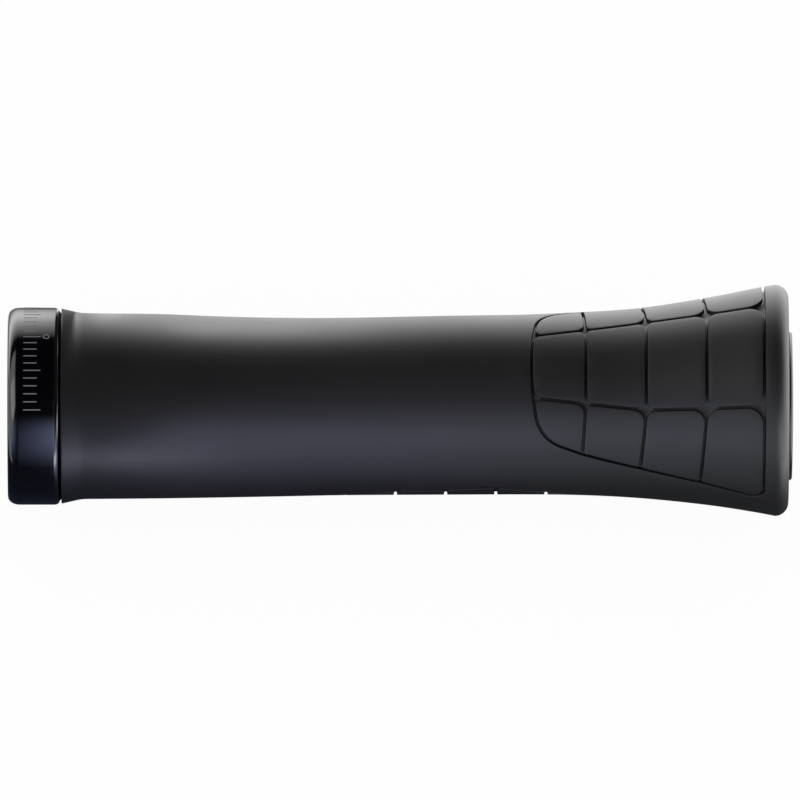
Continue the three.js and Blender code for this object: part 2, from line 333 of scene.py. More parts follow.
def cut_away(obj, cutters):
    """Cuts closed bmeshes out of a piece and keeps the result as its mesh."""
    for i, cutter in enumerate(cutters):
        tool = link_mesh(f"cutter_{i}", cutter)
        modifier = obj.modifiers.new("cut", "BOOLEAN")
        modifier.operation = "DIFFERENCE"
        modifier.solver = "EXACT"
        modifier.object = tool
        bpy.context.view_layer.update()
        solved = obj.evaluated_get(bpy.context.evaluated_depsgraph_get())
        mesh = bpy.data.meshes.new_from_object(solved)
        obj.modifiers.clear()
        old = obj.data
        obj.data = mesh
        bpy.data.meshes.remove(old)
        bpy.data.objects.remove(tool)


def turn(bm, angle, axis="X"):
    """Turns a whole bmesh about an axis through the origin."""
    bmesh.ops.rotate(bm, cent=(0, 0, 0), matrix=Matrix.Rotation(angle, 3, axis), verts=bm.verts)


def move(bm, place):
    """Moves a whole bmesh by a distance in mm."""
    bmesh.ops.translate(bm, vec=Vector(place) * MM, verts=bm.verts)


def block(low, high):
    """Box between two corners in mm."""
    bm = bmesh.new()
    bmesh.ops.create_cube(bm, size=1)
    size = [b - a for a, b in zip(low, high)]
    centre = [(a + b) / 2 for a, b in zip(low, high)]
    bmesh.ops.scale(bm, vec=Vector(size) * MM, verts=bm.verts)
    move(bm, centre)
    return bm


def rod_along_y(radius, x, z, low, high, sides):
    """Round or six-sided rod along Y, in mm."""
    bm = bmesh.new()
    bmesh.ops.create_cone(
        bm, cap_ends=True, segments=sides, radius1=radius * MM, radius2=radius * MM,
        depth=(high - low) * MM)
    turn(bm, -math.pi / 2)
    move(bm, (x, (low + high) / 2, z))
    return bm


def outline_stations():
    """Places, radii and shifts of the rubber's outline from end to end, in mm."""
    start, end = RUBBER_LOW.x / MM, RUBBER_HIGH.x / MM
    inboard = [(start + along, radius, shift) for along, radius, shift in INBOARD_OUTLINE]
    flare = [(end - back, radius, shift) for back, radius, shift in FLARE_OUTLINE]
    return inboard + flare


STATIONS = outline_stations()


def follow(column, x):
    """Smooth curve through the stations of the rubber, read at x, in mm."""
    last = len(STATIONS) - 1
    if x <= STATIONS[0][0]:
        return STATIONS[0][column]
    if x >= STATIONS[last][0]:
        return STATIONS[last][column]
    i = next(k for k in range(last) if STATIONS[k + 1][0] > x)

    def slope(k):
        before, after = STATIONS[max(k - 1, 0)], STATIONS[min(k + 1, last)]
        return (after[column] - before[column]) / (after[0] - before[0])

    span = STATIONS[i + 1][0] - STATIONS[i][0]
    rise = STATIONS[i + 1][column] - STATIONS[i][column]
    t = (x - STATIONS[i][0]) / span
    bend = span * t * (1 - t) * ((1 - t) * slope(i) - t * slope(i + 1))
    return STATIONS[i][column] + rise * t * t * (3 - 2 * t) + bend


def on_rubber(x, angle, height=0.0):
    """Point of the rubber's surface, in metres, from x in mm and the angle from the palm line."""
    reach = follow(1, x) + height
    return Vector((x, reach * math.sin(angle), follow(2, x) + reach * math.cos(angle))) * MM


def offset_corner(before, corner, after, distance):
    """Corner of a counterclockwise outline with its sides moved inwards."""
    into, away = (corner - before).normalized(), (after - corner).normalized()
    reach = distance / (1 + into.dot(away))
    return corner + Vector((-(into.y + away.y), into.x + away.x)) * reach


def bend(into, away):
    """Signed turn from one side of an outline to the next."""
    return math.atan2(into.x * away.y - into.y * away.x, into.dot(away))


def rounded_outline(corners, lengths, distance, spacing):
    """Closed outline moved inwards by a distance. Each corner is an arc that takes so much length of
    its sides before the move, in mm."""
    count = len(corners)
    arcs = []
    for i in range(count):
        before, corner, after = corners[i - 1], corners[i], corners[(i + 1) % count]
        into, away = (corner - before).normalized(), (after - corner).normalized()
        turn = bend(into, away)
        sign = 1 if turn > 0 else -1
        radius = lengths[i] / max(math.tan(abs(turn) / 2), 0.001)
        moved = offset_corner(before, corner, after, distance)
        steps = max(2, math.ceil((radius + 0.25) * abs(turn) / spacing))
        radius = max(radius - sign * distance, 0.05)
        start = moved - into * radius * math.tan(abs(turn) / 2)
        centre = start + Vector((-into.y, into.x)) * radius * sign
        spoke = start - centre
        arc = []
        for k in range(steps + 1):
            angle = turn * k / steps
            arc.append(centre + Vector((
                spoke.x * math.cos(angle) - spoke.y * math.sin(angle),
                spoke.x * math.sin(angle) + spoke.y * math.cos(angle))))
        arcs.append(arc)
    points = []
    for i in range(count):
        points += arcs[i]
        end, start = arcs[i][-1], arcs[(i + 1) % count][0]
        pieces = max(1, round((corners[(i + 1) % count] - corners[i]).length / (2.5 * spacing)))
        points += [end.lerp(start, k / pieces) for k in range(1, pieces)]
    return points


def pad_field(lines, inner_corner, outer_corner, junction, bow):
    """Corners and corner lengths of a field's border and of its pads, in x and arc."""
    grid = [(Vector((edge_x, -edge)), Vector((x, -row)), Vector((x, row)), Vector((edge_x, edge)))
            for x, edge_x, row, edge, before, after in lines]
    last = len(grid) - 1
    extremes = {(0, 0): inner_corner, (0, 3): inner_corner,
                (last, 0): outer_corner, (last, 3): outer_corner}
    bowed = Vector((lines[0][0] - bow, 0))
    border = [(i, 0) for i in range(last + 1)] + [(last, 1), (last, 2)]
    border += [(i, 3) for i in range(last, -1, -1)] + [(0, 2)]
    border_corners = [grid[i][k] for i, k in border] + [bowed, grid[0][1]]
    border_lengths = [extremes.get(key, junction) for key in border] + [PALM_BOW_BEND, junction]
    pads = []
    for column in range(last):
        for row in range(3):
            side = 0 if row == 1 else 1
            keys = [(column, row), (column + 1, row), (column + 1, row + 1), (column, row + 1)]
            corners = [grid[i][k] for i, k in keys]
            lengths = []
            for i, key in enumerate(keys):
                if key in extremes:
                    lengths.append(extremes[key])
                elif key[1] in (0, 3):
                    lengths.append(junction)
                else:
                    lengths.append(
                        lines[column][5][side] if i in (0, 3) else lines[column + 1][4][side])
            if column == 0 and row == 1:
                corners.append(bowed)
                lengths.append(PALM_BOW_BEND)
            pads.append((corners, lengths))
    return (border_corners, border_lengths), pads


def palm_field(junction):
    end = RUBBER_HIGH.x / MM
    lines = [(end - back, end - edge_back, row, edge, before, after)
             for back, edge_back, row, edge, before, after in PALM_LINES]
    return pad_field(lines, PALM_INNER_CORNER, PALM_OUTER_CORNER, junction, PALM_BOW)


def finger_field(junction):
    first = RUBBER_HIGH.x / MM - FINGER_BACK - (len(FINGER_EDGES) - 1) * FINGER_PITCH
    places = [first + i * FINGER_PITCH for i in range(len(FINGER_EDGES))]
    lines = [(x, x, FINGER_ROW, edge, FINGER_ROUND, FINGER_ROUND)
             for x, edge in zip(places, FINGER_EDGES)]
    return pad_field(lines, FINGER_CORNER, FINGER_CORNER, junction, 0)


def inside(point, outline):
    """Whether a point lies in a closed outline."""
    result = False
    for a, b in zip(outline, outline[1:] + outline[:1]):
        if (a.y > point.y) != (b.y > point.y):
            if point.x < a.x + (point.y - a.y) / (b.y - a.y) * (b.x - a.x):
                result = not result
    return result


class Sheet:
    """The rubber's outside, unrolled: points with a height, and the edges they must keep."""

    def __init__(self, settings):
        self.width = settings.groove_width / MM
        self.pad_round = settings.pad_round / MM
        self.points, self.heights, self.edges = [], [], []
        self.fields = []

    def groove_section(self, depth):
        """Offset inwards from the wall and height, from a pad's top over its round edge to the floor."""
        r = self.pad_round
        angles = [k * math.pi / 8 for k in range(5)]
        rim = [(r * (1 - math.sin(a)), -r * (1 - math.cos(a))) for a in angles]
        return rim + [(-0.12 * self.width, -0.9 * depth), (-0.46 * self.width, -depth)]

    def add_ring(self, ring, middle, height):
        first = len(self.points)
        for point in ring:
            angle = middle + point.y / follow(1, point.x)
            self.points.append(Vector((point.x, angle * UNROLLED_RADIUS)))
            self.heights.append(height)
        count = len(ring)
        self.edges += [(first + i, first + (i + 1) % count) for i in range(count)]
        return self.points[first:]

    def add_field(self, field, middle, spacing, depth):
        """Rings of a field's border and pads about the line at an angle from the palm."""
        (border, border_lengths), pads = field
        half = self.width / 2
        tops = []
        for offset, height in self.groove_section(depth):
            wide = self.add_ring(
                rounded_outline(border, border_lengths, -half - offset, spacing), middle, height)
            if height == 0:
                outer = wide
            for corners, lengths in pads:
                ring = self.add_ring(
                    rounded_outline(corners, lengths, half + offset, spacing), middle, height)
                if height == 0:
                    tops.append(ring)
        self.fields.append((outer, tops))

    def add_grid(self, places, steps, clearance):
        """Grid of points on and around the pads, clear of the rings but whole at both ends."""
        tree = kdtree.KDTree(len(self.points))
        for i, point in enumerate(self.points):
            tree.insert((point.x, point.y, 0), i)
        tree.balance()
        start = math.radians(SEAM_ANGLE) * UNROLLED_RADIUS
        pitch = 2 * math.pi * UNROLLED_RADIUS / steps
        for x in places:
            for k in range(steps + 1):
                point = Vector((x, start + k * pitch))
                clear = tree.find((point.x, point.y, 0))[2] > clearance and not self.in_groove(point)
                if clear or x in (places[0], places[-1]):
                    self.points.append(point)
                    self.heights.append(0)

    def in_groove(self, point):
        for outer, tops in self.fields:
            if inside(point, outer):
                return not any(inside(point, ring) for ring in tops)
        return False


def rubber_shell(settings):
    """Outside of the rubber with its grooves, rolled up from a flat sheet cut along every edge."""
    sheet = Sheet(settings)
    junction = settings.junction_round / MM
    sheet.add_field(palm_field(junction), 0.0, 0.28, settings.groove_depth / MM)
    sheet.add_field(finger_field(junction), math.pi, 0.32, settings.finger_depth / MM)
    start, end = STATIONS[0][0], STATIONS[-1][0]
    lip = [start + 0.4 * k for k in range(15)]
    body_steps = 88
    body = [lip[-1] + (end - lip[-1]) * k / body_steps for k in range(1, body_steps + 1)]
    sheet.add_grid(lip + body, 144, 0.4)
    flat = geometry.delaunay_2d_cdt(sheet.points, sheet.edges, [], 0, 1e-6)
    places, faces, sources = flat[0], flat[2], flat[3]
    bm = bmesh.new()
    for place, source in zip(places, sources):
        height = sheet.heights[source[0]] if source else 0
        bm.verts.new(on_rubber(place.x, place.y / UNROLLED_RADIUS, height))
    bm.verts.ensure_lookup_table()
    for face in faces:
        bm.faces.new([bm.verts[i] for i in face])
    bmesh.ops.remove_doubles(bm, verts=bm.verts, dist=0.0005 * MM)
    bmesh.ops.holes_fill(bm, edges=bm.edges, sides=3)
    return bm


def extend_ring(bm, edges, x, radius, shift):
    """Extrudes an open ring of edges to a circle at x, in mm, and returns its new edges."""
    grown = bmesh.ops.extrude_edge_only(bm, edges=edges)["geom"]
    ring = [item for item in grown if isinstance(item, bmesh.types.BMVert)]
    centre = sum((v.co for v in ring), Vector()) / len(ring)
    for vert in ring:
        spoke = (vert.co - centre) * Vector((0, 1, 1))
        spoke.normalize()
        vert.co = Vector((x * MM, 0, shift * MM)) + spoke * radius * MM
    members = set(ring)
    return [item for item in grown if isinstance(item, bmesh.types.BMEdge)
            and all(v in members for v in item.verts)]


class GRIP_OT_rubber_grip(bpy.types.Operator):
    """Build the rubber body with its flange, pads and grooves"""

    bl_idname = "grip.rubber_grip"
    bl_label = "Rubber Grip"

    def execute(self, context):
        settings = context.scene.grip_rubber
        bm = rubber_shell(settings)
        start, end = RUBBER_LOW.x / MM, RUBBER_HIGH.x / MM
        flange_radius, flange_shift = STATIONS[-1][1:]
        edge = settings.flange_round / MM
        open_edges = [e for e in bm.edges if e.is_boundary]
        middle = (start + end) / 2 * MM
        outer = [e for e in open_edges if e.verts[0].co.x > middle]
        inner = [e for e in open_edges if e.verts[0].co.x < middle]
        rim = rounded_rim(end, flange_radius, -edge, edge, 10)
        for x, radius in reversed(rim[:-1]):
            outer = extend_ring(bm, outer, x, radius, flange_shift)
        outer = extend_ring(bm, outer, end, RUBBER_BORE + 2.5, flange_shift * 0.6)
        outer = extend_ring(bm, outer, end, RUBBER_BORE + 0.15, 0)
        outer = extend_ring(bm, outer, end - 0.15, RUBBER_BORE, 0)
        outer = extend_ring(bm, outer, start, RUBBER_BORE, 0)
        lip = inner
        inner = extend_ring(bm, inner, start, RUBBER_BORE, 0)
        meeting = {v for e in inner + outer for v in e.verts}
        bmesh.ops.remove_doubles(bm, verts=list(meeting), dist=0.02 * MM)
        bmesh.ops.bevel(
            bm, geom=lip, affect="EDGES", offset=0.1 * MM, offset_type="OFFSET", segments=2,
            profile=0.5, material=-1)
        bmesh.ops.recalc_face_normals(bm, faces=bm.faces)
        obj = link_mesh("rubber_body", bm, math.radians(50))
        stand_in(obj, "rubber_grip", rubber_material(settings))
        return {"FINISHED"}


class GRIP_OT_clamp_ring(bpy.types.Operator):
    """Build the split clamp ring with its bolt seat and dog slots"""

    bl_idname = "grip.clamp_ring"
    bl_label = "Clamp Ring"

    def execute(self, context):
        settings = context.scene.grip_ring
        near, shoulder, width = RING_FACES
        radius = RING_HIGH.z / MM
        edge = settings.inboard_round / MM
        outline = [(near + 0.4, BAR_BORE), (near, BAR_BORE + 0.4)]
        outline += rounded_rim(near, radius, edge, 0.7 * edge, 12)
        outline += rounded_rim(shoulder, radius, -0.9, 0.5, 6)[::-1]
        outline += [(width, radius - 1)]
        outline += [(width, BAR_BORE + 0.2), (width - 0.2, BAR_BORE)]
        ring = link_mesh("ring_body", turned("ring", outline, 240))
        bolt_x = (BOLT_LOW.x + BOLT_HIGH.x) / 2 / MM
        bolt_z = (BOLT_LOW.z + BOLT_HIGH.z) / 2 / MM
        head = (BOLT_HIGH.z - BOLT_LOW.z) / 2 / MM
        half_slit = settings.slit_width / MM / 2
        cutters = [
            block((-1, -half_slit, -radius - 1), (width + 1, half_slit, -BAR_BORE + 1)),
            rod_along_y(BOLT_SHANK_RADIUS + PLAY, bolt_x, bolt_z, -2 * radius, BOLT_SEAT + 2, 48),
            rod_along_y(head + PLAY, bolt_x, bolt_z, BOLT_SEAT, 2 * radius, 64),
        ]
        side = DOG_WIDTH / 2 + PLAY
        for k in range(DOG_COUNT):
            slot = block((width - 2.3, -side, BAR_BORE - 1), (width + 1, side, RUBBER_BORE))
            turn(slot, k * 2 * math.pi / DOG_COUNT)
            cutters.append(slot)
        cut_away(ring, cutters)
        ring.data.set_sharp_from_angle(angle=math.radians(30))
        stand_in(ring, "clamp_ring", anodised_material(settings))
        return {"FINISHED"}


class GRIP_OT_scale_marks(bpy.types.Operator):
    """Mark the angle scale and its zero on the clamp ring"""

    bl_idname = "grip.scale_marks"
    bl_label = "Scale Marks"

    def execute(self, context):
        settings = context.scene.grip_ring
        radius = RING_HIGH.z / MM
        start, short_end, long_end = 2.87, 5.16, 5.81
        thickness, line = 0.03, 0.2
        bm = bmesh.new()
        for k in range(-10, 11):
            end = long_end if k % 5 == 0 else short_end
            tick = block((start, -line / 2, radius - thickness / 2),
                         (end, line / 2, radius + thickness / 2))
            turn(tick, -(settings.zero_angle + k * settings.tick_pitch))
            self.join(bm, tick)
        self.join(bm, self.zero(radius, settings.zero_angle))
        marks = link_mesh("scale_marks", bm)
        marks.data.materials.append(mark_material(settings))
        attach(marks, "root")
        return {"FINISHED"}

    def join(self, target, bm):
        mesh = bpy.data.meshes.new("mark")
        bm.to_mesh(mesh)
        bm.free()
        target.from_mesh(mesh)
        bpy.data.meshes.remove(mesh)

    def zero(self, radius, angle):
        """The figure 0 as a flat ring, upright along the bar."""
        bm = bmesh.new()
        outer = bmesh.ops.create_circle(bm, segments=40, radius=1)["verts"]
        inner = bmesh.ops.create_circle(bm, segments=40, radius=1)["verts"]
        bmesh.ops.scale(bm, vec=Vector((0.58, 0.56, 1)) * MM, verts=outer)
        bmesh.ops.scale(bm, vec=Vector((0.39, 0.37, 1)) * MM, verts=inner)
        bmesh.ops.bridge_loops(bm, edges=bm.edges[:])
        bmesh.ops.recalc_face_normals(bm, faces=bm.faces)
        bmesh.ops.solidify(bm, geom=bm.faces[:], thickness=0.03 * MM)
        move(bm, (6.76, 0, radius))
        bmesh.ops.recalc_face_normals(bm, faces=bm.faces)
        turn(bm, -angle)
        return bm


class GRIP_OT_clamp_bolt(bpy.types.Operator):
    """Build the socket screw that closes the ring"""

    bl_idname = "grip.clamp_bolt"
    bl_label = "Clamp Bolt"

    def execute(self, context):
        x = (BOLT_LOW.x + BOLT_HIGH.x) / 2 / MM
        z = (BOLT_LOW.z + BOLT_HIGH.z) / 2 / MM
        top, tip = BOLT_HIGH.y / MM, BOLT_LOW.y / MM
        head = (BOLT_HIGH.z - BOLT_LOW.z) / 2 / MM
        shank, seat = BOLT_SHANK_RADIUS, top - BOLT_HEAD_HEIGHT
        outline = [(tip, 0), (tip, shank - 0.3), (tip + 0.3, shank), (seat, shank), (seat, head - 0.1),
                   (seat + 0.1, head), (top - 0.3, head), (top - 0.1, head - 0.1), (top, head - 0.3),
                   (top, 0)]
        bm = turned("bolt", outline, 64)
        turn(bm, math.pi / 2, "Z")
        move(bm, (x, 0, z))
        bolt = link_mesh("bolt_body", bm)
        cut_away(bolt, [rod_along_y(SOCKET_WIDTH / math.sqrt(3), x, z, top - SOCKET_DEPTH, top + 1, 6)])
        bolt.data.set_sharp_from_angle(angle=math.radians(30))
        stand_in(bolt, "clamp_bolt", steel_material())
        return {"FINISHED"}


class GRIP_OT_core_sleeve(bpy.types.Operator):
    """Build the nylon core with its dogs"""

    bl_idname = "grip.core_sleeve"
    bl_label = "Core Sleeve"

    def execute(self, context):
        start, end = RUBBER_LOW.x / MM, CORE_HIGH.x / MM
        dog_start, outer = CORE_LOW.x / MM, CORE_HIGH.z / MM
        outline = [(dog_start, BAR_BORE), (dog_start, outer), (end, outer), (end, BAR_BORE + 0.3),
                   (end - 0.3, BAR_BORE)]
        core = link_mesh("core_body", turned("core", outline, 192))
        cutters = []
        for k in range(DOG_COUNT):
            gap = block((dog_start - 1, 0, 0), (start, 40, 40))
            turn(gap, -math.asin(DOG_WIDTH / 2 / outer))
            turn(gap, -k * 2 * math.pi / DOG_COUNT)
            cutters.append(gap)
        cut_away(core, cutters)
        core.data.set_sharp_from_angle(angle=math.radians(30))
        stand_in(core, "core_sleeve", nylon_material())
        return {"FINISHED"}


class GRIP_OT_end_plug(bpy.types.Operator):
    """Build the domed end plug"""

    bl_idname = "grip.end_plug"
    bl_label = "End Plug"

    def execute(self, context):
        seat = PLUG_HIGH.x / MM - 0.75
        skirt_end, crown = PLUG_LOW.x / MM, PLUG_HIGH.x / MM
        disc = PLUG_HIGH.z / MM
        skirt, wall = BAR_BORE - 0.3, 1.6
        outline = [(seat, 0), (seat, skirt - wall), (skirt_end + 0.3, skirt - wall),
                   (skirt_end, skirt - wall + 0.3), (skirt_end, skirt - 0.5), (skirt_end + 0.5, skirt),
                   (seat, skirt), (seat, disc - 0.1), (seat + 0.1, disc)]
        rim_end = seat + 0.55
        outline += rounded_rim(rim_end, disc, -0.45, 0.45, 6)[::-1]
        dome = crown - rim_end
        face = disc - 0.45
        shares = [1 - k / 12 for k in range(1, 13)]
        outline += [(rim_end + dome * (1 - share ** 2), face * share) for share in shares]
        plug = link_mesh("plug_body", turned("plug", outline, 192))
        stand_in(plug, "end_plug", plug_material())
        return {"FINISHED"}


def math_node(tree, operation, first, second):
    """Result of a maths node on two sockets or numbers."""
    node = tree.nodes.new("ShaderNodeMath")
    node.operation = operation
    for socket, value in zip(node.inputs, (first, second)):
        if isinstance(value, bpy.types.NodeSocket):
            tree.links.new(value, socket)
        else:
            socket.default_value = value
    return node.outputs["Value"]


def product(tree, *factors):
    """Product of sockets and numbers."""
    level = factors[0]
    for factor in factors[1:]:
        level = math_node(tree, "MULTIPLY", level, factor)
    return level


def fade(tree, value, dark, bright):
    """Smooth rise from 0 where the value is dark to 1 where it is bright."""
    ramp = tree.nodes.new("ShaderNodeMapRange")
    ramp.interpolation_type = "SMOOTHSTEP"
    tree.links.new(value, ramp.inputs["Value"])
    ramp.inputs["From Min"].default_value = dark
    ramp.inputs["From Max"].default_value = bright
    if dark > bright:
        ramp.inputs["From Min"].default_value = bright
        ramp.inputs["From Max"].default_value = dark
        ramp.inputs["To Min"].default_value = 1
        ramp.inputs["To Max"].default_value = 0
    return ramp.outputs["Result"]


def along_ramp(tree, value, stops):
    """Level led by a coordinate, straight between stops of (place in metres, level)."""
    places = [place for place, level in stops]
    span = tree.nodes.new("ShaderNodeMapRange")
    span.inputs["From Min"].default_value = places[0]
    span.inputs["From Max"].default_value = places[-1]
    tree.links.new(value, span.inputs["Value"])
    ramp = tree.nodes.new("ShaderNodeValToRGB")
    peak = max(level for place, level in stops)
    elements = ramp.color_ramp.elements
    while len(elements) < len(stops):
        elements.new(0.5)
    for element, (place, level) in zip(elements, stops):
        element.position = (place - places[0]) / (places[-1] - places[0])
        element.color = (level / peak, level / peak, level / peak, 1)
    tree.links.new(span.outputs["Result"], ramp.inputs["Fac"])
    return math_node(tree, "MULTIPLY", ramp.outputs["Color"], peak)


def glow_material(name):
    """Emission material, with its tree, its strength socket and the place on the panel."""
    material = bpy.data.materials.new(name)
    material.use_nodes = True
    tree = material.node_tree
    tree.nodes.clear()
    output = tree.nodes.new("ShaderNodeOutputMaterial")
    glow = tree.nodes.new("ShaderNodeEmission")
    tree.links.new(glow.outputs["Emission"], output.inputs["Surface"])
    place = tree.nodes.new("ShaderNodeTexCoord")
    split = tree.nodes.new("ShaderNodeSeparateXYZ")
    tree.links.new(place.outputs["Object"], split.inputs["Vector"])
    return material, tree, glow, split


def upright(left, right, y, low, high):
    """Corners of an upright panel along X."""
    return [(left, y, low), (right, y, low), (right, y, high), (left, y, high)]


def level_card(left, right, front, back, z):
    """Corners of a level panel."""
    return [(left, front, z), (right, front, z), (right, back, z), (left, back, z)]


def studio_panel(name, corners, material):
    """Card or softbox that only shows in reflections."""
    bm = bmesh.new()
    bm.faces.new([bm.verts.new(corner) for corner in corners])
    panel = link_mesh(name, bm)
    panel.data.materials.append(material)
    panel.visible_camera = False
    panel.visible_shadow = False
    panel.visible_diffuse = False
    panel.visible_transmission = False


def background_rays(tree):
    """1 for rays that show the background: those of the camera, of gloss and of glass."""
    rays = tree.nodes.new("ShaderNodeLightPath")
    first = tree.nodes.new("ShaderNodeMath")
    first.operation = "MAXIMUM"
    second = tree.nodes.new("ShaderNodeMath")
    second.operation = "MAXIMUM"
    tree.links.new(rays.outputs["Is Camera Ray"], first.inputs[0])
    tree.links.new(rays.outputs["Is Glossy Ray"], first.inputs[1])
    tree.links.new(first.outputs["Value"], second.inputs[0])
    tree.links.new(rays.outputs["Is Transmission Ray"], second.inputs[1])
    return second.outputs["Value"]


class GRIP_OT_stage(bpy.types.Operator):
    """Set up the pale floor, the soft light and the camera"""

    bl_idname = "grip.stage"
    bl_label = "Stage"

    def execute(self, context):
        settings = context.scene.grip_stage
        self.floor()
        self.world(context)
        self.lamps(settings)
        self.camera(context, settings)
        context.scene.view_settings.view_transform = "Standard"
        return {"FINISHED"}

    def floor(self):
        bm = bmesh.new()
        bmesh.ops.create_circle(bm, cap_ends=True, segments=96, radius=3)
        low = min(RUBBER_LOW.z, RING_LOW.z)
        bmesh.ops.translate(bm, vec=(RUBBER_HIGH.x / 2, 0, low), verts=bm.verts)
        floor = link_mesh("floor", bm)
        material = bpy.data.materials.new("floor")
        material.use_nodes = True
        tree = material.node_tree
        shader = tree.nodes["Principled BSDF"]
        shader.inputs["Base Color"].default_value = (0.9, 0.9, 0.9, 1)
        shader.inputs["Roughness"].default_value = 1
        shader.inputs["Specular IOR Level"].default_value = 0
        glow = tree.nodes.new("ShaderNodeEmission")
        mix = tree.nodes.new("ShaderNodeMixShader")
        tree.links.new(product(tree, background_rays(tree), 0.96), mix.inputs["Fac"])
        tree.links.new(shader.outputs["BSDF"], mix.inputs[1])
        tree.links.new(glow.outputs["Emission"], mix.inputs[2])
        tree.links.new(mix.outputs["Shader"], tree.nodes["Material Output"].inputs["Surface"])
        floor.data.materials.append(material)

    def world(self, context):
        world = bpy.data.worlds.new("studio")
        context.scene.world = world
        world.use_nodes = True
        tree = world.node_tree
        back = tree.nodes["Background"]
        back.inputs["Color"].default_value = (1, 1, 1, 1)
        level = tree.nodes.new("ShaderNodeMapRange")
        level.inputs["To Min"].default_value = 0.9
        level.inputs["To Max"].default_value = 1
        tree.links.new(background_rays(tree), level.inputs["Value"])
        tree.links.new(level.outputs["Result"], back.inputs["Strength"])

    def lamps(self, settings):
        self.back_softbox(settings)
        self.front_softbox(settings)
        self.side_softbox(settings)
        self.end_softbox(settings)
        self.flags()

    def back_softbox(self, settings):
        """Softbox close behind the grip, strongest at its foot, with a bright patch over the middle."""
        material, tree, glow, place = glow_material("back_softbox")
        along, height = place.outputs["X"], place.outputs["Z"]
        rise = tree.nodes.new("ShaderNodeMapRange")
        rise.inputs["From Min"].default_value = 0.0325
        rise.inputs["From Max"].default_value = 0.0005
        lift = product(tree, fade(tree, along, 0.08, 0.13), 0.008)
        tree.links.new(math_node(tree, "SUBTRACT", height, lift), rise.inputs["Value"])
        share = along_ramp(tree, along, (
            (-0.02, 1.3), (0.002, 1.1), (0.009, 0.9), (0.0125, 0.85), (0.0165, 1.9), (0.02, 1.1),
            (0.026, 1), (0.034, 1.12), (0.051, 1.2), (0.07, 1.1), (0.093, 1.33), (0.105, 1.3),
            (0.13, 1.3)))
        base = product(tree, share, math_node(tree, "MINIMUM", rise.outputs["Result"], 0.76))
        patch = product(tree, fade(tree, height, 0.003, 0.016), fade(tree, height, 0.028, 0.012))
        share = along_ramp(tree, along, (
            (0.019, 0), (0.027, 0.6), (0.033, 1.3), (0.04, 1.3), (0.047, 1.05), (0.056, 0.6),
            (0.065, 0.2), (0.077, 0)))
        level = math_node(tree, "ADD", base, product(tree, patch, share))
        near, clear = fade(tree, height, -0.018, 0.012), fade(tree, along, 0.009, 0.016)
        foot = math_node(tree, "MAXIMUM", near, clear)
        level = product(tree, level, foot, fade(tree, height, -0.04, 0.008), settings.key_strength)
        tree.links.new(level, glow.inputs["Strength"])
        studio_panel("back_softbox", upright(-0.1, 0.22, 0.035, RUBBER_LOW.z, 0.05), material)

    def front_softbox(self, settings):
        """Low blue softbox in front, fading out over the ring and paler past the flange."""
        material, tree, glow, place = glow_material("front_softbox")
        along, height = place.outputs["X"], place.outputs["Z"]
        level = product(tree, fade(tree, height, -0.025, 0.048), fade(tree, height, 0.14, 0.05))
        share = along_ramp(tree, along, (
            (-0.1, 0.4), (-0.06, 0.3), (-0.032, 0.08), (-0.012, 0.03), (-0.006, 0.07), (0.0045, 0.28),
            (0.012, 0.44), (0.018, 0.54), (0.03, 0.9), (0.042, 1.15), (0.07, 0.93), (0.082, 0.74),
            (0.092, 0.45), (0.16, 0.4), (0.2, 2)))
        level = product(tree, level, share)
        above = product(
            tree, fade(tree, height, 0.07, 0.13), fade(tree, height, 0.33, 0.18),
            fade(tree, along, 0.025, 0.06), fade(tree, along, 0.16, 0.04), 0.3)
        below = product(
            tree, fade(tree, height, 0.034, -0.004), fade(tree, along, 0.015, 0.04),
            fade(tree, along, 0.13, 0.065), 0.2)
        level = math_node(tree, "ADD", math_node(tree, "ADD", level, above), below)
        tree.links.new(product(tree, level, settings.fill_strength), glow.inputs["Strength"])
        tree.links.new(self.tint(tree, along), glow.inputs["Color"])
        studio_panel("front_softbox", upright(-0.1, 0.25, -0.1, RUBBER_LOW.z, 0.33), material)

    def tint(self, tree, along):
        """Blue in front of the ring, paler along the grip and nearly neutral at the flare."""
        span = tree.nodes.new("ShaderNodeMapRange")
        span.inputs["From Min"].default_value = 0.008
        span.inputs["From Max"].default_value = 0.13
        tree.links.new(along, span.inputs["Value"])
        ramp = tree.nodes.new("ShaderNodeValToRGB")
        elements = ramp.color_ramp.elements
        elements.new(0.15)
        elements.new(0.52)
        elements[-1].position = 0.72
        tints = ((0.5, 0.6, 1, 1), (0.68, 0.69, 1, 1), (0.68, 0.69, 1, 1), (0.93, 0.98, 1, 1))
        for element, colour in zip(elements, tints):
            element.color = colour
        tree.links.new(span.outputs["Result"], ramp.inputs["Fac"])
        return ramp.outputs["Color"]

    def side_softbox(self, settings):
        """Large softbox high on the ring's side, which lights the flare."""
        material, tree, glow, place = glow_material("side_softbox")
        share = along_ramp(tree, place.outputs["X"], ((-4, 1.5), (-1.6, 1.4), (-0.95, 0.95)))
        tree.links.new(product(tree, share, settings.side_strength), glow.inputs["Strength"])
        studio_panel("side_softbox", level_card(-4, -0.95, -2, 0.4, 2), material)

    def end_softbox(self, settings):
        """Low softbox beside the plug, which lights the flange's rim."""
        material, _, glow, _ = glow_material("end_softbox")
        glow.inputs["Strength"].default_value = settings.end_strength
        low, high, right = RUBBER_LOW.z, 0.03, 0.165
        studio_panel("end_softbox", [(right, -0.06, low), (right, 0.06, low), (right, 0.06, high),
                                     (right, -0.06, high)], material)

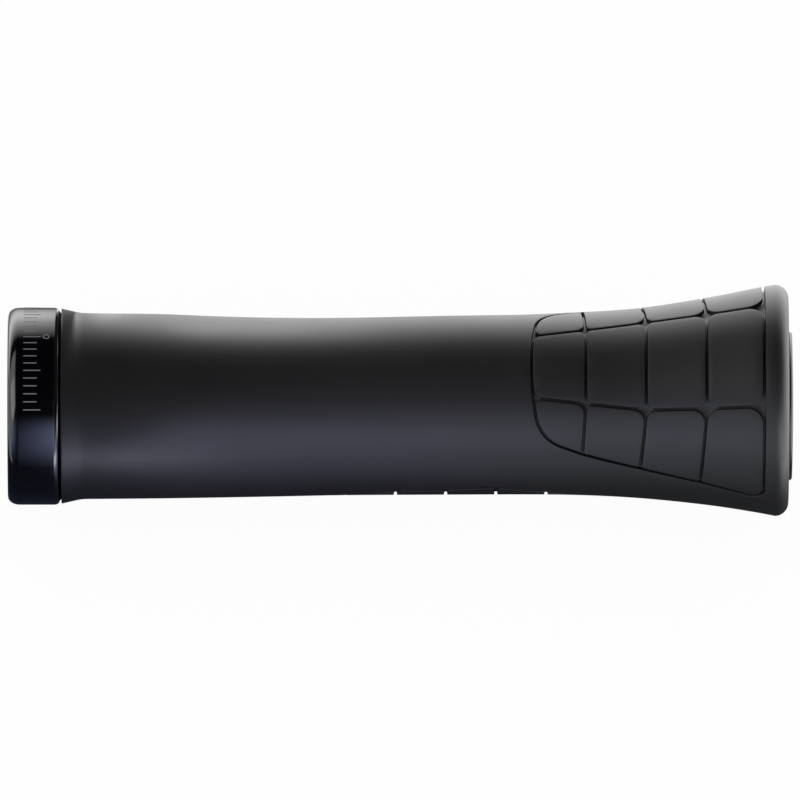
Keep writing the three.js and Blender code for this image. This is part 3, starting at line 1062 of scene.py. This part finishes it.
    def flags(self):
        """Black flags overhead, on the floor in front and beside the ring."""
        black, _, glow, _ = glow_material("black_flag")
        glow.inputs["Strength"].default_value = 0
        studio_panel("overhead_flag", level_card(-0.94, 5, -1.4, 4.5, 2), black)
        dim, tree, glow, place = glow_material("grey_flag")
        along = place.outputs["X"]
        tree.links.new(self.tint(tree, along), glow.inputs["Color"])
        level = product(tree, fade(tree, place.outputs["Y"], -0.016, -0.11), 1.8,
                        fade(tree, along, 0.008, 0.035), fade(tree, along, 0.15, 0.065))
        tree.links.new(math_node(tree, "ADD", level, 0.05), glow.inputs["Strength"])
        just_over_floor = RUBBER_LOW.z + 0.0004
        studio_panel("floor_flag", level_card(-0.06, 0.16, -0.1, -0.008, just_over_floor), dim)
        edge, tree, glow, place = glow_material("edge_flag")
        level = product(tree, fade(tree, place.outputs["Z"], 0.01, -0.006), 1.7)
        tree.links.new(math_node(tree, "ADD", level, 0.04), glow.inputs["Strength"])
        radii, turns = (0.0173, 0.034), [math.radians(-20 + 9 * k) for k in range(16)]
        arcs = [[(0.012, radius * math.cos(a), radius * math.sin(a)) for a in turns] for radius in radii]
        studio_panel("ring_back_flag", arcs[1] + arcs[0][::-1], edge)
        self.ring_flag()

    def ring_flag(self):
        """Slanted flag in front of the grip by the ring, lit along its foot."""
        soft, tree, glow, place = glow_material("soft_flag")
        along, height = place.outputs["X"], place.outputs["Z"]
        glow.inputs["Color"].default_value = (0.8, 0.82, 1, 1)
        lit = product(tree, fade(tree, height, -0.004, 0.004), fade(tree, height, 0.014, 0.007),
                      fade(tree, along, 0.048, 0.012), 5)
        tree.links.new(lit, glow.inputs["Strength"])
        slant = math_node(tree, "SUBTRACT", height, product(tree, along, 1.26))
        cover = product(tree, fade(tree, slant, -0.0115, -0.0035), fade(tree, along, 0.0125, 0.0165))
        black = tree.nodes.new("ShaderNodeEmission")
        black.inputs["Strength"].default_value = 0
        clear = tree.nodes.new("ShaderNodeBsdfTransparent")
        mix = tree.nodes.new("ShaderNodeMixShader")
        tree.links.new(cover, mix.inputs["Fac"])
        tree.links.new(clear.outputs["BSDF"], mix.inputs[1])
        tree.links.new(black.outputs["Emission"], mix.inputs[2])
        both = tree.nodes.new("ShaderNodeAddShader")
        tree.links.new(mix.outputs["Shader"], both.inputs[0])
        tree.links.new(glow.outputs["Emission"], both.inputs[1])
        output = next(n for n in tree.nodes if n.type == "OUTPUT_MATERIAL")
        tree.links.new(both.outputs["Shader"], output.inputs["Surface"])
        near, far, low, high = -0.052, -0.012, -0.01, 0.062
        studio_panel("ring_flag", [(0.0125, near, low), (0.06, near, low), (0.06, far, high),
                                   (0.0125, far, high)], soft)

    def camera(self, context, settings):
        camera = bpy.data.cameras.new("camera")
        camera.lens = settings.lens
        camera.sensor_width = 36
        distance = settings.picture_width * settings.lens / camera.sensor_width
        camera.clip_start = distance / 10
        camera.clip_end = distance * 10
        tilt = settings.camera_elevation
        up = Vector((0, math.sin(tilt), math.cos(tilt)))
        back = Vector((0, -math.cos(tilt), math.sin(tilt)))
        target = Vector((67.45 * MM, 0, 0)) + up * 1.05 * MM
        obj = bpy.data.objects.new("camera", camera)
        obj.location = target + back * distance
        obj.rotation_euler = back.to_track_quat("Z", "Y").to_euler()
        context.scene.collection.objects.link(obj)
        context.scene.camera = obj


class GRIP_PT_panel(bpy.types.Panel):
    """Lists the grip's pieces and sizes"""

    bl_label = "Handlebar Grip"
    bl_idname = "GRIP_PT_panel"
    bl_space_type = "VIEW_3D"
    bl_region_type = "UI"
    bl_category = "Grip"

    def draw(self, context):
        for group in (context.scene.grip_rubber, context.scene.grip_ring, context.scene.grip_stage):
            for name in group.__annotations__:
                self.layout.prop(group, name)
        for operator in PIECES:
            self.layout.operator(operator.bl_idname)


PIECES = (
    GRIP_OT_rubber_grip,
    GRIP_OT_clamp_ring,
    GRIP_OT_scale_marks,
    GRIP_OT_clamp_bolt,
    GRIP_OT_core_sleeve,
    GRIP_OT_end_plug,
    GRIP_OT_stage,
)
SETTINGS = (GripRubber, GripRing, GripStage)


def register():
    for cls in SETTINGS + PIECES + (GRIP_PT_panel,):
        bpy.utils.register_class(cls)
    bpy.types.Scene.grip_rubber = bpy.props.PointerProperty(type=GripRubber)
    bpy.types.Scene.grip_ring = bpy.props.PointerProperty(type=GripRing)
    bpy.types.Scene.grip_stage = bpy.props.PointerProperty(type=GripStage)


def unregister():
    del bpy.types.Scene.grip_stage
    del bpy.types.Scene.grip_ring
    del bpy.types.Scene.grip_rubber
    for cls in reversed(SETTINGS + PIECES + (GRIP_PT_panel,)):
        bpy.utils.unregister_class(cls)


def main():
    register()
    bpy.ops.grip.stage()
    bpy.ops.grip.rubber_grip()
    bpy.ops.grip.clamp_ring()
    bpy.ops.grip.scale_marks()
    bpy.ops.grip.clamp_bolt()
    bpy.ops.grip.core_sleeve()
    bpy.ops.grip.end_plug()


if __name__ == "__main__":
    main()
